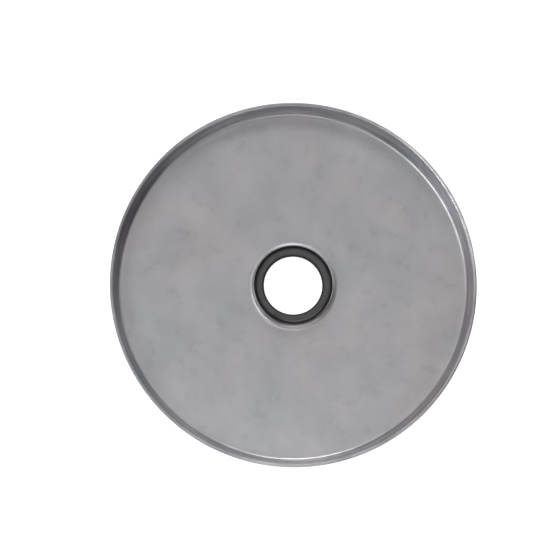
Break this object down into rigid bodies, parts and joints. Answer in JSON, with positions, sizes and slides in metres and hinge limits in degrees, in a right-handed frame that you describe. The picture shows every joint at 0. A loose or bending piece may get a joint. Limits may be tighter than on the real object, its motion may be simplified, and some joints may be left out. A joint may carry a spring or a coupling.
{
  "type": "blind flange",
  "caption": "Pressed sheet-steel round blanking cap with a turned-up rim and a drawn central collar that holds a rubber lip seal for a pass-through shaft or pipe.",
  "frame": {"origin": "centre of the cap on the underside of its floor", "axes": "+Z along the axis of the cap, from the underside towards the open mouth of the rim"},
  "size_m": [0.2186, 0.2186, 0.0145],
  "materials": {
    "sheet_steel": "dull mill finish, faintly mottled",
    "seal_rubber": "moulded, matt",
    "ring_steel": "phosphated, dull",
    "spring_steel": "drawn wire, bright"
  },
  "bodies": {
    "root": {"cap_shell": "sheet_steel", "seal_body": "seal_rubber", "seal_stiffener_ring": "ring_steel", "garter_spring": "spring_steel"}
  },
  "joints": []
}
